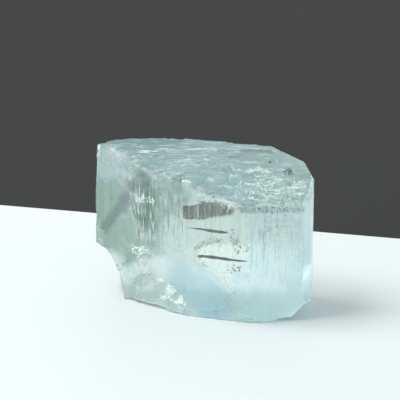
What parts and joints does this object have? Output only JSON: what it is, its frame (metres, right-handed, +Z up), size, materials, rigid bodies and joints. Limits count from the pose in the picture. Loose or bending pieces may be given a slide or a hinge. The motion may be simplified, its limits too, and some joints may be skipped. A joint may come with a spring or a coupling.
{
  "type": "blue topaz crystal",
  "caption": "Pale blue, see-through crystal standing on a flat foot: an upright prism with striated sides, a ledged and sloping top and shell-shaped fractures.",
  "frame": {"origin": "middle of the bounding box at the flat foot that the crystal stands on", "axes": "+Z up along the crystal's prism edges, +X to the right along its broad front, the front towards -Y"},
  "size_m": [0.042, 0.0216, 0.03],
  "materials": {
    "topaz": "clear with a glassy lustre, striated and frosted on some faces"
  },
  "bodies": {
    "root": {"topaz_crystal": "topaz"}
  },
  "joints": []
}
